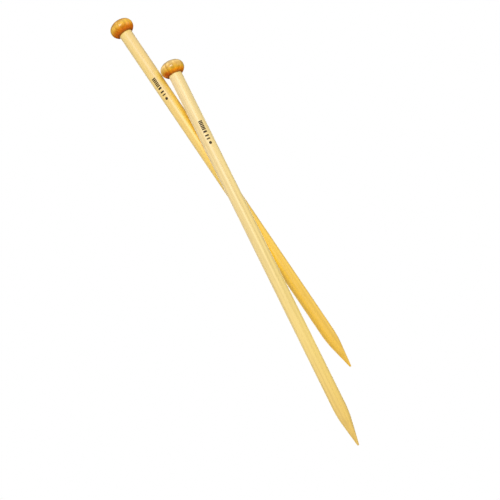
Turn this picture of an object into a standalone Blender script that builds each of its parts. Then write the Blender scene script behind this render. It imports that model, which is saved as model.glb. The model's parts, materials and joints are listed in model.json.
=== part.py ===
"""A pair of straight knitting needles, 12 mm thick, lying crossed on a table.

Each needle is two glued pieces: a bamboo shaft, turned to a point at one end and to a tenon
at the other, and a bun-shaped wooden knob with a blind socket that takes the tenon. The lower
needle lies on its knob and on the shoulder of its point. The upper needle lies across it and
has only the shoulder of its point on the table. It swings about the place where they cross.

A piece's own frame has +Z along the needle, from the knob to the point, and z = 0 at the
knob's flat face, where the bare shaft begins. The world frame has +X along the lower needle,
+Z up, and its origin on the table at the centre of the pair's outline.
"""

import math

import bmesh
import bpy
from mathutils import Matrix, Vector

MM = 0.001

# Shaft
SHAFT_RADIUS = 6.0 * MM
SHAFT_LENGTH = 356.0 * MM  # knob face to the end of the point
POINT_ANGLE = math.radians(10.2)  # half-angle of the cone
SHOULDER_ARC = 90.0 * MM  # radius of the arc that eases the cylinder into the cone
TIP_RADIUS = 0.9 * MM
SHAFT_CHAMFER = 0.3 * MM

# Knob: a bun, with a squarish crown on one side of its widest plane and an elliptic shoulder
# on the other. It is cut off flat at the shaft and parted off at the far end.
KNOB_RADIUS = 10.8 * MM
KNOB_WIDEST = 5.9 * MM  # knob face to the widest plane
KNOB_SHOULDER = 7.7 * MM  # half-thickness of the shoulder's whole ellipse, along the needle
KNOB_CROWN = 6.9 * MM  # the same for the crown's rounder outline
KNOB_CROWN_POWER = 2.25  # 2 would be an ellipse, and more is squarer
KNOB_END_RADIUS = 3.0 * MM

# Glued joint between them
TENON_RADIUS = 3.5 * MM
TENON_LENGTH = 9.0 * MM  # knob face to the tenon's end
TENON_CHAMFER = 0.6 * MM
GLUE_GAP = 0.3 * MM

# How the pair lies
CROSSING_ANGLE = math.radians(7.65)  # seen from above
LOWER_CROSSING = 117.9 * MM  # knob face to the crossing, along the lower needle
UPPER_CROSSING = 60.5 * MM  # the same, along the upper needle
TOUCH_GAP = 0.3 * MM
SETTLING_ROUNDS = 20

# Mesh
SEGMENTS = 40  # flats round a turned surface
SHOULDER_STEPS = 6
TIP_STEPS = 4
KNOB_SHOULDER_STEPS = 7
KNOB_CROWN_STEPS = 10
WELD = 0.001 * MM
SHARP_ANGLE = math.radians(35)

# Linear base colour and roughness of each piece
BAMBOO_ROUGHNESS = 0.45
VARNISH_ROUGHNESS = 0.2
COLOURS = {
    "lower_shaft": (0.84, 0.58, 0.22),
    "upper_shaft": (0.87, 0.66, 0.30),
    "lower_knob": (0.58, 0.22, 0.025),
    "upper_knob": (0.62, 0.26, 0.04),
}

# The arc and the cone each end where the other begins, at the same slope
CONE_START_RADIUS = SHAFT_RADIUS - SHOULDER_ARC * (1 - math.cos(POINT_ANGLE))
CONE_LENGTH = (CONE_START_RADIUS - TIP_RADIUS * math.cos(POINT_ANGLE)) / math.tan(POINT_ANGLE)
POINT_LENGTH = (
    SHOULDER_ARC * math.sin(POINT_ANGLE) + CONE_LENGTH + TIP_RADIUS * (1 - math.sin(POINT_ANGLE))
)
SHOULDER = SHAFT_LENGTH - POINT_LENGTH
KNOB_END_SHARE = (KNOB_END_RADIUS / KNOB_RADIUS) ** KNOB_CROWN_POWER
KNOB_LENGTH = KNOB_WIDEST + KNOB_CROWN * (1 - KNOB_END_SHARE) ** (1 / KNOB_CROWN_POWER)


def clear_scene():
    for old in list(bpy.data.objects):
        bpy.data.objects.remove(old)


def make_material(name, colour, roughness):
    material = bpy.data.materials.new(name)
    material.use_nodes = True
    surface = material.node_tree.nodes["Principled BSDF"]
    surface.inputs["Base Color"].default_value = (*colour, 1)
    surface.inputs["Roughness"].default_value = roughness
    surface.inputs["Metallic"].default_value = 0
    return material


def arc(centre, radii, start, end, steps):
    """(radius, height) points on an ellipse, turning from the outward direction towards +Z."""
    angles = [start + (end - start) * step / steps for step in range(steps + 1)]
    return [
        (centre[0] + radii[0] * math.cos(angle), centre[1] + radii[1] * math.sin(angle))
        for angle in angles
    ]


def crown():
    """(radius, height) points on the knob, from past its widest plane to its end flat."""
    power = 2 / KNOB_CROWN_POWER
    last = math.acos(math.sqrt(KNOB_END_SHARE))
    angles = [last * step / KNOB_CROWN_STEPS for step in range(1, KNOB_CROWN_STEPS + 1)]
    return [
        (KNOB_RADIUS * math.cos(angle) ** power, -KNOB_WIDEST - KNOB_CROWN * math.sin(angle) ** power)
        for angle in angles
    ]


def turned(name, profile, roughness):
    """A solid of revolution about its own Z, from points that start and end on the axis."""
    shape = bmesh.new()
    corners = [shape.verts.new((radius, 0, height)) for radius, height in profile]
    edges = [shape.edges.new(pair) for pair in zip(corners, corners[1:])]
    bmesh.ops.spin(
        shape,
        geom=corners + edges,
        cent=(0, 0, 0),
        axis=(0, 0, 1),
        angle=math.tau,
        steps=SEGMENTS,
        use_merge=True,
    )
    bmesh.ops.remove_doubles(shape, verts=shape.verts, dist=WELD)
    bmesh.ops.recalc_face_normals(shape, faces=shape.faces)
    mesh = bpy.data.meshes.new(name)
    shape.to_mesh(mesh)
    shape.free()
    mesh.shade_smooth()
    mesh.set_sharp_from_angle(angle=SHARP_ANGLE)
    mesh.materials.append(make_material(name, COLOURS[name], roughness))
    piece = bpy.data.objects.new(name, mesh)
    bpy.context.scene.collection.objects.link(piece)
    return piece


def make_shaft(name):
    """The tenon, the plain shaft, the shoulder arc, the cone and the rounded tip."""
    shoulder_centre = (SHAFT_RADIUS - SHOULDER_ARC, SHOULDER)
    profile = [
        (0, -TENON_LENGTH),
        (TENON_RADIUS - TENON_CHAMFER, -TENON_LENGTH),
        (TENON_RADIUS, TENON_CHAMFER - TENON_LENGTH),
        (TENON_RADIUS, GLUE_GAP),
        (SHAFT_RADIUS - SHAFT_CHAMFER, GLUE_GAP),
        (SHAFT_RADIUS, GLUE_GAP + SHAFT_CHAMFER),
    ]
    profile += arc(shoulder_centre, [SHOULDER_ARC] * 2, 0, POINT_ANGLE, SHOULDER_STEPS)
    tip = arc((0, SHAFT_LENGTH - TIP_RADIUS), [TIP_RADIUS] * 2, POINT_ANGLE, math.pi / 2, TIP_STEPS)
    profile += tip[:-1] + [(0, SHAFT_LENGTH)]
    return turned(name, profile, BAMBOO_ROUGHNESS)


def make_knob(name):
    """The bun, with a blind socket open at the shaft's side."""
    socket_radius = TENON_RADIUS + GLUE_GAP
    socket_end = -TENON_LENGTH - GLUE_GAP
    face_angle = math.asin(KNOB_WIDEST / KNOB_SHOULDER)
    radii = (KNOB_RADIUS, KNOB_SHOULDER)
    shoulder = arc((0, -KNOB_WIDEST), radii, face_angle, 0, KNOB_SHOULDER_STEPS)
    profile = [
        (0, socket_end),
        (socket_radius, socket_end),
        (socket_radius, -TENON_CHAMFER),
        (socket_radius + TENON_CHAMFER, 0),
    ]
    profile += shoulder + crown() + [(0, -KNOB_LENGTH)]
    return turned(name, profile, VARNISH_ROUGHNESS)


def direction(heading, dip):
    """A unit vector at that heading from +X, seen from above, pointing down by the dip."""
    level = math.cos(dip)
    return Vector((level * math.cos(heading), level * math.sin(heading), -math.sin(dip)))


def resting_height(dip):
    """Height of the axis at the shoulder, where the shoulder's arc touches the table."""
    return SHOULDER_ARC - (SHOULDER_ARC - SHAFT_RADIUS) * math.cos(dip)


def lay_lower():
    """(knob face, direction) of a needle that rests on its knob and its shoulder."""
    dip = math.asin((KNOB_RADIUS - SHAFT_RADIUS) / (KNOB_WIDEST + SHOULDER))
    along = direction(0, dip)
    widest = Vector((0, 0, KNOB_RADIUS * math.cos(dip)))
    return widest + KNOB_WIDEST * along, along


def lay_upper(lower_face, lower_along):
    """(knob face, direction, crossing) of a needle that rests on the lower one and its shoulder.

    Its height at the crossing sets its dip, and the dip changes that height a little, so the
    two are worked out in turn until they agree.
    """
    below = lower_face + LOWER_CROSSING * lower_along
    dip = 0
    for _ in range(SETTLING_ROUNDS):
        along = direction(-CROSSING_ANGLE, dip)
        normal = lower_along.cross(along).normalized()
        rise = (2 * SHAFT_RADIUS + TOUCH_GAP) / abs(normal.z)
        drop = below.z + rise - resting_height(dip)
        dip = math.asin(drop / (SHOULDER - UPPER_CROSSING))
    crossing = below + Vector((0, 0, rise))
    return crossing - UPPER_CROSSING * along, along, crossing


def outline_centre(lower_face, lower_along, upper_face, upper_along):
    """The middle, on the table, of the rectangle round the pair as seen from above."""
    lower_end = lower_face - KNOB_LENGTH * lower_along
    upper_tip = upper_face + SHAFT_LENGTH * upper_along
    upper_widest = upper_face - KNOB_WIDEST * upper_along
    left = upper_widest.y + KNOB_RADIUS * math.cos(CROSSING_ANGLE)
    return Vector(((lower_end.x + upper_tip.x) / 2, (upper_tip.y - TIP_RADIUS + left) / 2, 0))


def add_needle(name, face, along, pivot):
    """A shaft and a knob, both parented to an empty at the point that the needle turns about."""
    parent = bpy.data.objects.new(f"{name}_needle", None)
    bpy.context.scene.collection.objects.link(parent)
    parent.location = pivot
    side = Vector((0, 0, 1)).cross(along).normalized()
    turn = Matrix((along.cross(side), -side, along)).transposed().to_4x4()
    for piece in (make_shaft(f"{name}_shaft"), make_knob(f"{name}_knob")):
        piece.parent = parent
        piece.matrix_basis = Matrix.Translation(face - pivot) @ turn


def main():
    clear_scene()
    lower_face, lower_along = lay_lower()
    upper_face, upper_along, crossing = lay_upper(lower_face, lower_along)
    centre = outline_centre(lower_face, lower_along, upper_face, upper_along)
    add_needle("lower", lower_face - centre, lower_along, lower_face - centre)
    add_needle("upper", upper_face - centre, upper_along, crossing - centre)


main()
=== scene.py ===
"""Looks of the pair of straight knitting needles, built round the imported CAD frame.

Each CAD shaft and knob is replaced by a finely turned piece of the same size: a bamboo shaft
with fibre relief and a satin finish, and a varnished wooden knob. A generic row of printed
bars stands where the real needles carry their size.

A piece's own frame has +Z along the needle, from the knob to the point, and z = 0 at the
knob's flat face. Its +X is the needle's top, and angles round the needle are counted from
there towards the camera. Lengths are in metres, except that materials count places on a
piece in millimetres.
"""

import json
import math

import bmesh
import bpy
from mathutils import Matrix, Quaternion, Vector, noise


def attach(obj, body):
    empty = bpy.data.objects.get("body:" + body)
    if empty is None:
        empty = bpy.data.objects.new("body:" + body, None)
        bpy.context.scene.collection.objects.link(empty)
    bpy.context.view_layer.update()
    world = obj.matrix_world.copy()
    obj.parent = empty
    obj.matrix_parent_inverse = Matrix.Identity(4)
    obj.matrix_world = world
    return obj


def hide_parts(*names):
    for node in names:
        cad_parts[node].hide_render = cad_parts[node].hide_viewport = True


MM = 0.001
NEEDLES = ("lower", "upper")

# Turned outlines. Lengths and radii that the CAD nodes have are measured from them.
POINT_ANGLE = math.radians(10.2)  # half-angle of the cone
SHOULDER_ARC = 90.0 * MM  # radius of the arc that eases the cylinder into the cone
TIP_RADIUS = 0.9 * MM
SHAFT_CHAMFER = 0.12 * MM
KNOB_WIDEST = 5.9 * MM  # knob face to the widest plane
KNOB_SHOULDER = 7.7 * MM  # half-thickness of the shoulder's whole ellipse, along the needle
KNOB_CROWN = 6.9 * MM  # the same for the crown's squarer outline
KNOB_CROWN_POWER = 2.25  # 2 would be an ellipse, and more is squarer
KNOB_END_RADIUS = 3.0 * MM
KNOB_END_RING = 0.6  # a ring that keeps the end flat, as a share of its radius
KNOB_EDGE = 0.35 * MM  # rounding where the bun meets its flat face
KNOB_EDGE_CORNER = 0.1  # how far in and down the rounding's corner lies, as a share of it
TENON_RADIUS = 3.5 * MM
TENON_LENGTH = 9.0 * MM
TENON_CHAMFER = 0.6 * MM
SOCKET_CLEARANCE = 0.1 * MM
GLUE_LINE = 0.04 * MM  # what shows of the glue between the knob and the shaft's shoulder

# Mesh density
SHAFT_SEGMENTS = 120
KNOB_SEGMENTS = 128
SHAFT_STEP = 2.5 * MM
SHOULDER_STEPS = 16
CONE_STEPS = 24
TIP_STEPS = 10
KNOB_SHOULDER_STEPS = 24
KNOB_CROWN_STEPS = 40
SHARP_ANGLE = math.radians(40)

# Relief of the turned wood, as (height, waves per metre across, waves per metre along)
FIBRE_RELIEF = (0.006 * MM, 900, 14)
SANDING_RELIEF = (0.02 * MM, 30, 25)
KNOB_RELIEF = (0.04 * MM, 110, 110)

# Printed mark: bars as millimetres from its start and millimetres wide, and a dot past them
MARK_START = {"lower": 48.8 * MM, "upper": 47.8 * MM}
MARK_TURN = {"lower": math.radians(56), "upper": math.radians(22)}
MARK_HEIGHT = 3.5 * MM
MARK_PROUD = 0.03 * MM
MARK_DEPTH = 0.08 * MM
MARK_STEPS = 10
BARS = (
    (0.0, 1.1),
    (1.5, 1.1),
    (3.0, 1.1),
    (4.6, 1.1),
    (6.1, 1.1),
    (7.6, 1.1),
    (9.7, 1.7),
    (13.6, 1.4),
    (16.7, 1.1),
)
DOT_PLACE = 21.2 * MM
DOT_RADIUS = 1.3 * MM
DOT_SIDES = 20
DOT_RINGS = 4

# Noise in the materials, as (waves per millimetre across, along, detail, shift). Each needle
# adds a shift of its own, so that no two pieces look the same.
NOISE_ROUGHNESS = 0.6
NOISE_SHIFT = (1.0, 0.7, 1.3)  # how far a shift of 1 goes each way
NEEDLE_SHIFT = {"lower": 3.1, "upper": 47.7}  # for the shafts, and for the relief of all pieces
KNOB_SHIFT = {"lower": 5.3, "upper": 19.1}  # for the knobs' wood

# Tones as (place, colour) or (place, grey), with places from 0 to 1. GREYS multiply the tone
# under them. The greys of lines and flecks say where they are, and a depth and a colour follow.

# Bamboo: its tone from the knob to the point, partly its own and partly painted light, paler near the
# knob as painted sheen and deeper towards the point as painted shade, most on the lower needle. Then
# its grain
SHAFT_LENGTH_IN_MM = 356.0
SHAFT_WIDTH_IN_MM = 12.0
BAMBOO_TONE_AND_PAINTED_LIGHT = {
    "lower": (
        (0.0, (0.66, 0.49, 0.19)),
        (0.35, (0.70, 0.48, 0.13)),
        (0.6, (0.76, 0.48, 0.04)),
        (1.0, (0.71, 0.43, 0.042)),
    ),
    "upper": (
        (0.0, (0.68, 0.52, 0.24)),
        (0.5, (0.69, 0.525, 0.19)),
        (0.75, (0.71, 0.52, 0.14)),
        (1.0, (0.66, 0.43, 0.09)),
    ),
}
STREAKS = (0.45, 0.007, 3.0, 0.0)
STREAK_GREYS = ((0.3, 0.87), (0.5, 1.0), (0.7, 1.08))
GRAIN = (0.9, 0.006, 2.0, 11.0)
GRAIN_LINES = ((0.46, 0.0), (0.5, 1.0), (0.54, 0.0))
GRAIN_DEPTH = 0.2
GRAIN_COLOUR = (0.55, 0.33, 0.10)
FIBRES = (6.0, 0.07, 4.0, 23.0)
FIBRE_GREYS = ((0.25, 0.97), (0.75, 1.03))
BUNDLES = (3.2, 0.2, 1.0, 37.0)
FLECK_PLACES = ((0.66, 0.0), (0.72, 1.0))
FLECK_DEPTH = 0.3
FLECK_COLOUR = (0.42, 0.24, 0.07)
PAINTED_LIGHT_SIDE = math.radians(125)  # the side painted paler, as if more lit, with the far side painted deeper
PAINTED_LIGHT_PALER = {"lower": (0.05, 0.05, 0.0), "upper": (0.07, 0.07, 0.23)}  # in red, green and blue
BAMBOO_ROUGHNESS = 0.33
FIBRE_ROUGHNESS = 0.12  # what the fibres add to it
FLECK_HOLLOW = 0.5  # how deep the flecks lie, in heights of the fibres
BAMBOO_BUMP = (0.12, 0.05 * MM)  # strength and distance
BAMBOO_GLOSS = (
    ("Sheen Weight", 0.8),
    ("Sheen Roughness", 0.3),
    ("Coat Weight", 0.5),
    ("Coat Roughness", 0.38),
)

# Varnished knob: its tone towards the shaft's side, deepening there partly as painted shade, with a
# painted highlight band on the upper knob, then its grain
KNOB_TONE_REACH = 14.5  # from the knob's face, and past its end, which is at place 0.13
KNOB_TONES_AND_PAINTED_LIGHT = {
    "lower": (
        (0.13, (0.44, 0.21, 0.03)),
        (0.3, (0.50, 0.25, 0.05)),
        (0.45, (0.60, 0.35, 0.07)),
        (0.57, (0.64, 0.37, 0.045)),
        (0.77, (0.54, 0.195, 0.004)),
        (0.85, (0.53, 0.14, 0.0005)),
        (0.92, (0.49, 0.11, 0.0005)),
        (1.0, (0.32, 0.075, 0.001)),
    ),
    "upper": (
        (0.13, (0.47, 0.27, 0.05)),
        (0.21, (0.50, 0.37, 0.14)),
        (0.3, (0.57, 0.40, 0.17)),
        (0.45, (0.68, 0.46, 0.16)),
        (0.57, (0.52, 0.31, 0.07)),
        (0.77, (0.56, 0.31, 0.02)),
        (0.85, (0.66, 0.245, 0.002)),
        (0.92, (0.60, 0.18, 0.0005)),
        (1.0, (0.34, 0.085, 0.001)),
    ),
}
RING_CENTRE = (-24.0, -11.0)  # the growth rings' centre, beside the needle
RING_WIDTH = 2.4
RING_DISTORTION = 2.5
RING_DETAIL = 2.0
RING_GREYS = ((0.0, 1.04), (0.7, 1.0), (0.9, 0.86), (1.0, 1.04))
UNIT_RING = math.pi / 10  # the width of a wave texture's ring at scale 1
BANDS = (0.42, 0.03, 3.0, 7.0)
BAND_GREYS = ((0.3, 0.78), (0.5, 1.0), (0.7, 1.2))
WARP = (0.12, 0.05, 2.0, 0.0)
VEIN_LINES = ((0.455, 0.0), (0.47, 1.0), (0.485, 0.0))
VEIN_DEPTH = 0.35
VEIN_COLOUR = (0.30, 0.09, 0.004)
SEAM_TURN = math.radians(59)  # where the paler wood begins
SEAM_LINE = ((0.45, 0.0), (0.5, 1.0), (0.54, 0.0))
SEAM_DEPTH = 0.6
SEAM_COLOUR = (0.30, 0.10, 0.004)
PALER_PLACES = (0.5, 0.56, 0.9, 1.0)  # radians past the seam, plus the warp, which is about 0.5
KNOB_PALER = {"lower": 1.0, "upper": 1.04}
SHADE_PATCH_TURN = math.radians(100)  # where painted shade makes the wood by the shaft redder and darker
SHADE_PATCH_SPREAD = ((0.4, 1.0), (0.9, 0.0))  # radians to either side of it
SHADE_PATCH_REACH = ((0.62, 0.0), (0.85, 1.0))  # along the knob, as its tones are
SHADE_PATCH_DEPTH = {"lower": 0.2, "upper": 1.0}
SHADE_PATCH_COLOUR = (0.75, 0.42, 0.15)
PORES = (5.0, 0.5, 2.0, 13.0)
PORE_GREYS = ((0.3, 0.9), (0.65, 1.05))
RIPPLE = (0.5, 0.5, 2.0, 29.0)
VARNISH_BUMP = (0.25, 0.3 * MM)  # strength and distance
VARNISH_GLOSS = (
    ("Roughness", 0.4),
    ("Specular IOR Level", 0.0),
    ("Coat Weight", 1.0),
    ("Coat Roughness", 0.2),
    ("Coat IOR", 1.5),
)

# Painted shade, and on the bamboo a painted warm glow of bounced light, where a nearby surface is, by
# how open the place is, from 0 to 1
PAINTED_SHADE_REACH = 8.0 * MM
PAINTED_SHADE_SAMPLES = 8
BAMBOO_PAINTED_SHADE_AND_GLOW = ((0.3, (1.15, 1.0, 0.08)), (0.78, (1.18, 1.2, 0.82)), (0.92, (1.0, 1.0, 1.0)))
KNOB_PAINTED_SHADE = ((0.35, (0.72, 0.42, 0.3)), (0.75, (1.0, 1.0, 1.0)))

# Ink
THIN_INK = (3.0, 1.2, 3.0, 2.0)
INK_TONES = ((0.35, (0.020, 0.011, 0.005)), (0.75, (0.075, 0.042, 0.016)))
INK_ROUGHNESS = 0.7

# Camera: a square picture, with its field in focal lengths per picture width
CAMERA_PLACE = Vector((0.0452, -0.3606, 0.5016))
CAMERA_TARGET = Vector((0.0227, -0.0040, 0))
CAMERA_ROLL = math.radians(52.52)
CAMERA_FOCUS = 1.4
SENSOR = 36
NEAREST, FARTHEST = 0.01, 50

# Floor and world, both plain white
FLOOR_SIZE = 12
FLOOR_DROP = 0.2 * MM
WHITE = (1, 1, 1, 1)
FLOOR_SURFACE = (
    ("Base Color", (0, 0, 0, 1)),
    ("Roughness", 1.0),
    ("Specular IOR Level", 0.0),
    ("Emission Color", WHITE),
    ("Emission Strength", 1.0),
)
WORLD_STRENGTH = 1.0

# Soft lights: name, place, target, size, power, colour
LIGHTS = (
    ("key", (-0.38, -0.66, 1.00), (-0.3, 0, 0), (0.44, 0.62), 7.5, (1.0, 0.97, 0.93)),
    ("fill", (0.10, 0.90, 1.10), (0.10, 0, 0), (1.00, 1.00), 3.0, (1.0, 0.97, 0.92)),
)


# Node helpers


def fill_inputs(tree, node, inputs):
    """Puts each (input, value or socket) into a node."""
    for place, value in inputs:
        if isinstance(value, bpy.types.NodeSocket):
            tree.links.new(value, node.inputs[place])
        else:
            node.inputs[place].default_value = value


def add_node(tree, kind, inputs=(), **settings):
    """A new node with its settings and its inputs."""
    made = tree.nodes.new(kind)
    for name, value in settings.items():
        setattr(made, name, value)
    fill_inputs(tree, made, inputs)
    return made


def arithmetic(tree, operation, *values):
    return add_node(tree, "ShaderNodeMath", enumerate(values), operation=operation).outputs[0]


def ramp(tree, factor, stops):
    """Colours at their places from 0 to 1."""
    made = add_node(tree, "ShaderNodeValToRGB", ((0, factor),))
    elements = made.color_ramp.elements
    while len(elements) < len(stops):
        elements.new(0.5)
    for element, (place, colour) in zip(elements, stops):
        element.position = place
        element.color = (*colour, 1)
    return made.outputs[0]


def grey_ramp(tree, factor, greys):
    return ramp(tree, factor, [(place, (grey,) * 3) for place, grey in greys])


def blend(tree, mode, factor, first, second):
    """Two colours blended. Of a mix node's inputs and outputs, these are the ones for colours."""
    inputs = ((0, factor), (6, first), (7, second))
    return add_node(tree, "ShaderNodeMix", inputs, data_type="RGBA", blend_type=mode).outputs[2]


def tint(tree, tone, factor, stops):
    """Multiplies a tone by colours that follow a factor."""
    return blend(tree, "MULTIPLY", 1.0, tone, ramp(tree, factor, stops))


def shade(tree, tone, factor, greys):
    """Multiplies a tone by greys that follow a factor."""
    return blend(tree, "MULTIPLY", 1.0, tone, grey_ramp(tree, factor, greys))


def lay_over(tree, tone, where, depth, colour, mode="MIX"):
    """Blends a colour over a tone, to the given depth where the factor is 1."""
    return blend(tree, mode, arithmetic(tree, "MULTIPLY", where, depth), tone, (*colour, 1))


def stretched_noise(tree, place, waves, needle_shift=0.0):
    """Noise in the piece's own frame, with so many waves per millimetre each way."""
    across, along, detail, shift = waves
    location = [(shift + needle_shift) * way for way in NOISE_SHIFT]
    inputs = (("Vector", place), ("Location", location), ("Scale", (across, across, along)))
    mapped = add_node(tree, "ShaderNodeMapping", inputs).outputs[0]
    inputs = (("Vector", mapped), ("Scale", 1.0), ("Detail", detail), ("Roughness", NOISE_ROUGHNESS))
    return add_node(tree, "ShaderNodeTexNoise", inputs).outputs[0]


def growth_rings(tree, place, shift):
    """Rings about a line along the needle, from 0 to 1 across each ring."""
    inputs = (("Vector", place), ("Location", (*RING_CENTRE, shift)))
    mapped = add_node(tree, "ShaderNodeMapping", inputs).outputs[0]
    inputs = (
        ("Vector", mapped),
        ("Scale", UNIT_RING / RING_WIDTH),
        ("Distortion", RING_DISTORTION),
        ("Detail", RING_DETAIL),
    )
    kind = {"wave_type": "RINGS", "rings_direction": "Z", "wave_profile": "SAW"}
    return add_node(tree, "ShaderNodeTexWave", inputs, **kind).outputs["Fac"]


def own_millimetres(tree):
    """The piece's own coordinates in millimetres, together and one by one."""
    own = add_node(tree, "ShaderNodeTexCoord").outputs["Object"]
    inputs = ((0, own), ("Scale", 1 / MM))
    place = add_node(tree, "ShaderNodeVectorMath", inputs, operation="SCALE").outputs[0]
    return place, add_node(tree, "ShaderNodeSeparateXYZ", ((0, place),)).outputs


def bump(tree, height, strength, distance):
    inputs = (("Strength", strength), ("Distance", distance), ("Height", height))
    return add_node(tree, "ShaderNodeBump", inputs).outputs[0]


def paint_shade_near_contact(tree, tone, stops):
    """Multiplies a tone by colours that depend on how open the place is: painted shade and painted
    bounced light near other surfaces.
    """
    inputs = (("Distance", PAINTED_SHADE_REACH),)
    nearby = add_node(tree, "ShaderNodeAmbientOcclusion", inputs, samples=PAINTED_SHADE_SAMPLES)
    return tint(tree, tone, nearby.outputs["AO"], stops)


def new_material(name):
    material = bpy.data.materials.new(name)
    material.use_nodes = True
    return material, material.node_tree, material.node_tree.nodes["Principled BSDF"]


# Materials


def paint_light_by_side(tree, tone, place, needle):
    """Paints light by side: the bamboo paler on one side as if more lit, and deeper on the other side.
    """
    toward_painted_light = (math.cos(PAINTED_LIGHT_SIDE), math.sin(PAINTED_LIGHT_SIDE), 0)
    inputs = ((0, place), (1, toward_painted_light))
    across = add_node(tree, "ShaderNodeVectorMath", inputs, operation="DOT_PRODUCT").outputs["Value"]
    side = arithmetic(tree, "MULTIPLY_ADD", across, 1 / SHAFT_WIDTH_IN_MM, 0.5)
    inner, outer = ([1 + way * paler for paler in PAINTED_LIGHT_PALER[needle]] for way in (-1, 1))
    return tint(tree, tone, side, ((0.0, inner), (1.0, outer)))


def make_bamboo(needle):
    """Pale bamboo with a satin coat.

    Its tone changes along the stick, partly as painted sheen near the knob and painted shade towards
    the point, and one side is painted paler as if more lit. Over it lie long streaks, thin grain
    lines, fibres and dark flecks, and painted shade with a painted warm glow of bounced light where
    another piece is near.
    """
    material, tree, surface = new_material(f"{needle}_bamboo")
    place, (_, _, along) = own_millimetres(tree)
    shift = NEEDLE_SHIFT[needle]
    # the tone along the needle holds painted sheen near the knob and painted shade towards the point
    tone = ramp(tree, arithmetic(tree, "DIVIDE", along, SHAFT_LENGTH_IN_MM), BAMBOO_TONE_AND_PAINTED_LIGHT[needle])
    tone = shade(tree, tone, stretched_noise(tree, place, STREAKS, shift), STREAK_GREYS)
    lines = grey_ramp(tree, stretched_noise(tree, place, GRAIN, shift), GRAIN_LINES)
    tone = lay_over(tree, tone, lines, GRAIN_DEPTH, GRAIN_COLOUR)
    fibres = stretched_noise(tree, place, FIBRES, shift)
    tone = shade(tree, tone, fibres, FIBRE_GREYS)
    flecks = grey_ramp(tree, stretched_noise(tree, place, BUNDLES, shift), FLECK_PLACES)
    tone = lay_over(tree, tone, flecks, FLECK_DEPTH, FLECK_COLOUR)
    # painted light: one side of the shaft paler, the other deeper
    tone = paint_light_by_side(tree, tone, place, needle)
    # painted shade and a painted warm glow of bounced light where another piece is near
    tone = paint_shade_near_contact(tree, tone, BAMBOO_PAINTED_SHADE_AND_GLOW)

    rougher = arithmetic(tree, "MULTIPLY", fibres, FIBRE_ROUGHNESS)
    hollows = arithmetic(tree, "MULTIPLY", flecks, FLECK_HOLLOW)
    height = arithmetic(tree, "SUBTRACT", fibres, hollows)
    inputs = (
        ("Base Color", tone),
        ("Roughness", arithmetic(tree, "ADD", rougher, BAMBOO_ROUGHNESS)),
        ("Normal", bump(tree, height, *BAMBOO_BUMP)),
        *BAMBOO_GLOSS,
    )
    fill_inputs(tree, surface, inputs)
    return material


def seam(tree, tone, turn, warp, needle):
    """A dark wavering line along the knob, with paler wood on its far side."""
    past = arithmetic(tree, "ADD", arithmetic(tree, "SUBTRACT", turn, SEAM_TURN), warp)
    paler = KNOB_PALER[needle]
    tone = shade(tree, tone, past, zip(PALER_PLACES, (1.0, paler, paler, 1.0)))
    return lay_over(tree, tone, grey_ramp(tree, past, SEAM_LINE), SEAM_DEPTH, SEAM_COLOUR)


def paint_shade_patch(tree, tone, turn, share, needle):
    """Painted shade: redder, darker wood beside the shaft, low on the camera's side."""
    away = arithmetic(tree, "ABSOLUTE", arithmetic(tree, "SUBTRACT", turn, SHADE_PATCH_TURN))
    around = grey_ramp(tree, away, SHADE_PATCH_SPREAD)
    where = arithmetic(tree, "MULTIPLY", around, grey_ramp(tree, share, SHADE_PATCH_REACH))
    return lay_over(tree, tone, where, SHADE_PATCH_DEPTH[needle], SHADE_PATCH_COLOUR, "MULTIPLY")


def make_varnish(needle):
    """Amber varnish over wood, glossy and a little rippled.

    Its tone deepens towards the shaft's side, partly as painted shade, and holds a painted highlight
    band on the upper knob. Over it lie growth rings, bands, a thin vein, a seam, a redder patch of
    painted shade by the shaft and pores, and painted shade darkens it where the shaft is near.
    """
    material, tree, surface = new_material(f"{needle}_varnished_wood")
    place, (across, aside, along) = own_millimetres(tree)
    shift = KNOB_SHIFT[needle]
    share = arithmetic(tree, "ADD", arithmetic(tree, "DIVIDE", along, KNOB_TONE_REACH), 1.0)
    turn = arithmetic(tree, "ARCTAN2", aside, across)
    warp = stretched_noise(tree, place, WARP, shift)
    # the tone's dark end by the shaft is partly painted shade, and the upper knob's pale band is a
    # painted highlight
    tone = ramp(tree, share, KNOB_TONES_AND_PAINTED_LIGHT[needle])
    tone = shade(tree, tone, growth_rings(tree, place, shift), RING_GREYS)
    tone = shade(tree, tone, stretched_noise(tree, place, BANDS, shift), BAND_GREYS)
    tone = lay_over(tree, tone, grey_ramp(tree, warp, VEIN_LINES), VEIN_DEPTH, VEIN_COLOUR)
    tone = seam(tree, tone, turn, warp, needle)
    # painted shade: a redder, darker patch low beside the shaft
    tone = paint_shade_patch(tree, tone, turn, share, needle)
    tone = shade(tree, tone, stretched_noise(tree, place, PORES, shift), PORE_GREYS)
    # painted shade where the shaft or another piece is near
    tone = paint_shade_near_contact(tree, tone, KNOB_PAINTED_SHADE)

    ripple = stretched_noise(tree, place, RIPPLE, shift)
    inputs = (("Base Color", tone), *VARNISH_GLOSS, ("Coat Normal", bump(tree, ripple, *VARNISH_BUMP)))
    fill_inputs(tree, surface, inputs)
    return material


def make_ink():
    """Dark brown printing ink, thin enough in places for the wood to warm it."""
    material, tree, surface = new_material("printed_ink")
    place, _ = own_millimetres(tree)
    tone = ramp(tree, stretched_noise(tree, place, THIN_INK), INK_TONES)
    fill_inputs(tree, surface, (("Base Color", tone), ("Roughness", INK_ROUGHNESS)))
    return material


def make_floor_material():
    material, tree, surface = new_material("white_paper")
    fill_inputs(tree, surface, FLOOR_SURFACE)
    return material


# Meshes


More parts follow.
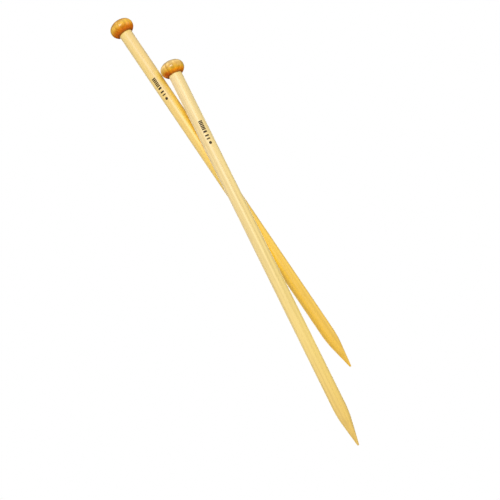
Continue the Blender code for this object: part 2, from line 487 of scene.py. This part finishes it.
def needle_frame(record, needle):
    """The needle's own frame, from the mount at the flat end of its knob."""
    mounts = {mount["name"]: mount for mount in record["mounts"]}
    flat_end = mounts[f"{needle}_knob_end"]
    along = -Vector(flat_end["axis"]).normalized()
    side = Vector((0, 0, 1)).cross(along).normalized()
    turn = Matrix((along.cross(side), -side, along)).transposed().to_4x4()
    return Matrix.Translation(flat_end["pos_m"]) @ turn


def measure(cad_node, placed):
    """(lowest, highest, largest radius) of a CAD node in its needle's own frame."""
    back = placed.inverted()
    corners = [back @ vertex.co for vertex in cad_node.data.vertices]
    heights = [corner.z for corner in corners]
    return min(heights), max(heights), max(corner.xy.length for corner in corners)


def arc(centre, radii, start, end, steps):
    """(radius, height) points on an ellipse, turning from the outward direction towards +Z."""
    angles = [start + (end - start) * step / steps for step in range(steps + 1)]
    return [
        (centre[0] + radii[0] * math.cos(angle), centre[1] + radii[1] * math.sin(angle))
        for angle in angles
    ]


def line(first, last, steps):
    """The points between two (radius, height) points, without them."""
    return [
        tuple(a + (b - a) * step / steps for a, b in zip(first, last)) for step in range(1, steps)
    ]


def relief(corner, seed, layers):
    """How far the surface stands proud there, from layers of stretched noise."""
    total = 0
    for height, across, along in layers:
        place = Vector((corner.x * across, corner.y * across, corner.z * along + seed))
        total += height * noise.noise(place)
    return total


def finish_mesh(name, shape, material):
    mesh = bpy.data.meshes.new(name)
    shape.to_mesh(mesh)
    shape.free()
    mesh.shade_smooth()
    mesh.set_sharp_from_angle(angle=SHARP_ANGLE)
    mesh.materials.append(material)
    piece = bpy.data.objects.new(name, mesh)
    bpy.context.scene.collection.objects.link(piece)
    return piece


def turned_piece(name, profile, segments, seed, layers, material):
    """A solid of revolution about its own Z with a little relief, from axis to axis."""
    shape = bmesh.new()
    rings = []
    for radius, height in profile:
        count = segments if radius > 0 else 1
        ring = []
        for step in range(count):
            angle = math.tau * step / segments
            corner = Vector((radius * math.cos(angle), radius * math.sin(angle), height))
            if radius > 0:
                outward = Vector((corner.x, corner.y, 0)) / radius
                corner += outward * relief(corner, seed, layers)
            ring.append(shape.verts.new(corner))
        rings.append(ring)
    for first, second in zip(rings, rings[1:]):
        for step in range(segments):
            after = (step + 1) % segments
            corners = [first[step % len(first)], first[after % len(first)]]
            corners += [second[after % len(second)], second[step % len(second)]]
            shape.faces.new(list(dict.fromkeys(corners)))
    bmesh.ops.recalc_face_normals(shape, faces=shape.faces)
    return finish_mesh(name, shape, material)


def shaft_profile(radius, tip):
    """Tenon, shoulder, plain shaft, easing arc, cone and rounded tip."""
    cone_start = radius - SHOULDER_ARC * (1 - math.cos(POINT_ANGLE))
    cone_length = (cone_start - TIP_RADIUS * math.cos(POINT_ANGLE)) / math.tan(POINT_ANGLE)
    tip_centre = tip - TIP_RADIUS
    cone_end = tip_centre + TIP_RADIUS * math.sin(POINT_ANGLE)
    shoulder = cone_end - cone_length - SHOULDER_ARC * math.sin(POINT_ANGLE)
    collar = (radius, GLUE_LINE + SHAFT_CHAMFER)
    arc_centre = (radius - SHOULDER_ARC, shoulder)
    easing = arc(arc_centre, (SHOULDER_ARC,) * 2, 0, POINT_ANGLE, SHOULDER_STEPS)
    end = arc((0, tip_centre), (TIP_RADIUS,) * 2, POINT_ANGLE, math.pi / 2, TIP_STEPS)
    return [
        (0, -TENON_LENGTH),
        (TENON_RADIUS - TENON_CHAMFER, -TENON_LENGTH),
        (TENON_RADIUS, TENON_CHAMFER - TENON_LENGTH),
        (TENON_RADIUS, GLUE_LINE),
        (radius - SHAFT_CHAMFER, GLUE_LINE),
        collar,
        *line(collar, easing[0], round((shoulder - collar[1]) / SHAFT_STEP)),
        *easing,
        *line(easing[-1], end[0], CONE_STEPS),
        *end[:-1],
        (0, tip),
    ]


def crown(radius):
    """(radius, height) points on the knob, from past its widest plane to its end flat."""
    power = 2 / KNOB_CROWN_POWER
    last = math.acos((KNOB_END_RADIUS / radius) ** (1 / power))
    angles = [last * step / KNOB_CROWN_STEPS for step in range(1, KNOB_CROWN_STEPS + 1)]
    return [
        (radius * math.cos(angle) ** power, -KNOB_WIDEST - KNOB_CROWN * math.sin(angle) ** power)
        for angle in angles
    ]


def knob_profile(radius, end):
    """The blind socket, the flat face with its rounded edge, the bun and its small end flat."""
    socket_radius = TENON_RADIUS + SOCKET_CLEARANCE
    socket_end = -TENON_LENGTH - SOCKET_CLEARANCE
    face_angle = math.asin(KNOB_WIDEST / KNOB_SHOULDER)
    shoulder = arc((0, -KNOB_WIDEST), (radius, KNOB_SHOULDER), face_angle, 0, KNOB_SHOULDER_STEPS)
    face_radius = shoulder[0][0]
    edge_corner = KNOB_EDGE_CORNER * KNOB_EDGE
    return [
        (0, socket_end),
        (socket_radius, socket_end),
        (socket_radius, -TENON_CHAMFER),
        (socket_radius + TENON_CHAMFER, 0),
        (face_radius - KNOB_EDGE, 0),
        (face_radius - edge_corner, -edge_corner),
        *shoulder[1:],
        *crown(radius),
        (KNOB_END_RADIUS * KNOB_END_RING, end),
        (0, end),
    ]


def make_shaft(needle, radius, tip):
    return turned_piece(
        f"{needle}_turned_shaft",
        shaft_profile(radius, tip),
        SHAFT_SEGMENTS,
        NEEDLE_SHIFT[needle],
        (FIBRE_RELIEF, SANDING_RELIEF),
        make_bamboo(needle),
    )


def make_knob(needle, radius, end):
    return turned_piece(
        f"{needle}_turned_knob",
        knob_profile(radius, end),
        KNOB_SEGMENTS,
        NEEDLE_SHIFT[needle],
        (KNOB_RELIEF,),
        make_varnish(needle),
    )


def raise_patch(shape, radius, turn, rows):
    """A thin closed patch on the shaft, from rows of (along, around) points that form a grid."""
    sheets = []
    for level in (radius + MARK_PROUD, radius - MARK_DEPTH):
        sheet = []
        for row in rows:
            places = [(turn + around / radius, along) for along, around in row]
            corners = [(level * math.cos(angle), level * math.sin(angle), z) for angle, z in places]
            sheet.append([shape.verts.new(corner) for corner in corners])
        sheets.append(sheet)
    tall, wide = len(rows) - 1, len(rows[0]) - 1
    for sheet in sheets:
        for i in range(tall):
            for j in range(wide):
                shape.faces.new((sheet[i][j], sheet[i][j + 1], sheet[i + 1][j + 1], sheet[i + 1][j]))
    border = [(0, j) for j in range(wide)] + [(i, wide) for i in range(tall)]
    border += [(tall, j) for j in range(wide, 0, -1)] + [(i, 0) for i in range(tall, 0, -1)]
    above, below = sheets
    for (i, j), (k, m) in zip(border, border[1:] + border[:1]):
        shape.faces.new((above[i][j], above[k][m], below[k][m], below[i][j]))


def bar_rows(start, width):
    """The grid of one straight bar that runs around the shaft."""
    steps = [MARK_HEIGHT * (step / MARK_STEPS - 0.5) for step in range(MARK_STEPS + 1)]
    return [[(start, step), (start + width, step)] for step in steps]


def dot_rows(centre):
    """The grid of a round dot: chords of a circle, each cut into the same number of steps."""
    rows = []
    for i in range(DOT_SIDES + 1):
        across = -math.cos(math.pi * (i + 0.5) / (DOT_SIDES + 1))
        half = DOT_RADIUS * math.sqrt(1 - across**2)
        steps = [half * (2 * j / DOT_RINGS - 1) for j in range(DOT_RINGS + 1)]
        rows.append([(centre + step, DOT_RADIUS * across) for step in steps])
    return rows


def make_mark(needle, radius, material):
    """A generic printed mark: a group of bars, a few set apart and a dot."""
    shape = bmesh.new()
    start, turn = MARK_START[needle], MARK_TURN[needle]
    for place, width in BARS:
        raise_patch(shape, radius, turn, bar_rows(start + place * MM, width * MM))
    raise_patch(shape, radius, turn, dot_rows(start + DOT_PLACE))
    bmesh.ops.recalc_face_normals(shape, faces=shape.faces)
    return finish_mesh(f"{needle}_size_mark", shape, material)


def build_needle(needle, frame, ink):
    """Places the shaft, the knob and the mark, and makes them ride on the needle's body."""
    flat_end = needle_frame(frame["record"], needle)
    low, high, knob_radius = measure(frame["nodes"][f"{needle}_knob"], flat_end)
    placed = flat_end @ Matrix.Translation((0, 0, high))
    _, tip, shaft_radius = measure(frame["nodes"][f"{needle}_shaft"], placed)
    shaft = make_shaft(needle, shaft_radius, tip)
    knob = make_knob(needle, knob_radius, low - high)
    mark = make_mark(needle, shaft_radius, ink)
    for piece, slot in ((shaft, "bamboo"), (knob, "amber_varnish"), (mark, "ink")):
        piece.matrix_world = placed
        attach(piece, f"{needle}_needle")
    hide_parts(f"{needle}_shaft")
    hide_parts(f"{needle}_knob")


# Stage


def add_floor():
    shape = bmesh.new()
    bmesh.ops.create_grid(shape, x_segments=1, y_segments=1, size=FLOOR_SIZE / 2)
    floor = finish_mesh("floor", shape, make_floor_material())
    floor.location.z = -FLOOR_DROP
    floor.visible_glossy = False


def aim(placed, target, roll=0.0):
    """Turns a camera or a light at a target, then about its own line of sight."""
    sight = (target - placed.location).to_track_quat("-Z", "Y")
    placed.rotation_mode = "QUATERNION"
    placed.rotation_quaternion = sight @ Quaternion((0, 0, 1), roll)


def add_lights():
    for name, place, target, size, power, colour in LIGHTS:
        lamp = bpy.data.lights.new(name, "AREA")
        lamp.shape = "RECTANGLE"
        lamp.size, lamp.size_y = size
        lamp.energy = power
        lamp.color = colour
        light = bpy.data.objects.new(name, lamp)
        bpy.context.scene.collection.objects.link(light)
        light.location = place
        aim(light, Vector(target))


def set_world():
    world = bpy.data.worlds.new("white_studio")
    bpy.context.scene.world = world
    world.use_nodes = True
    background = world.node_tree.nodes["Background"]
    fill_inputs(world.node_tree, background, (("Color", WHITE), ("Strength", WORLD_STRENGTH)))
    world.cycles_visibility.glossy = False
    bpy.context.scene.view_settings.view_transform = "Standard"


def add_camera():
    lens = bpy.data.cameras.new("camera")
    lens.sensor_width = SENSOR
    lens.lens = CAMERA_FOCUS * SENSOR
    lens.clip_start, lens.clip_end = NEAREST, FARTHEST
    camera = bpy.data.objects.new("camera", lens)
    bpy.context.scene.collection.objects.link(camera)
    camera.location = CAMERA_PLACE
    aim(camera, CAMERA_TARGET, CAMERA_ROLL)
    bpy.context.scene.camera = camera


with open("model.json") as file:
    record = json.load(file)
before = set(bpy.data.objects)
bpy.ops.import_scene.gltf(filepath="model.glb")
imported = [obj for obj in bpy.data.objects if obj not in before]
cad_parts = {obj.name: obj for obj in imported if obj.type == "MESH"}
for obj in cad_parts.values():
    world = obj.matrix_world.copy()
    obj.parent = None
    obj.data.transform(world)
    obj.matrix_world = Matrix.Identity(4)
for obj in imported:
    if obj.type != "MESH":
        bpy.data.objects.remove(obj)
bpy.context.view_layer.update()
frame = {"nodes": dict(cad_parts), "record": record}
ink = make_ink()
for needle in NEEDLES:
    build_needle(needle, frame, ink)
add_floor()
add_lights()
set_world()
add_camera()
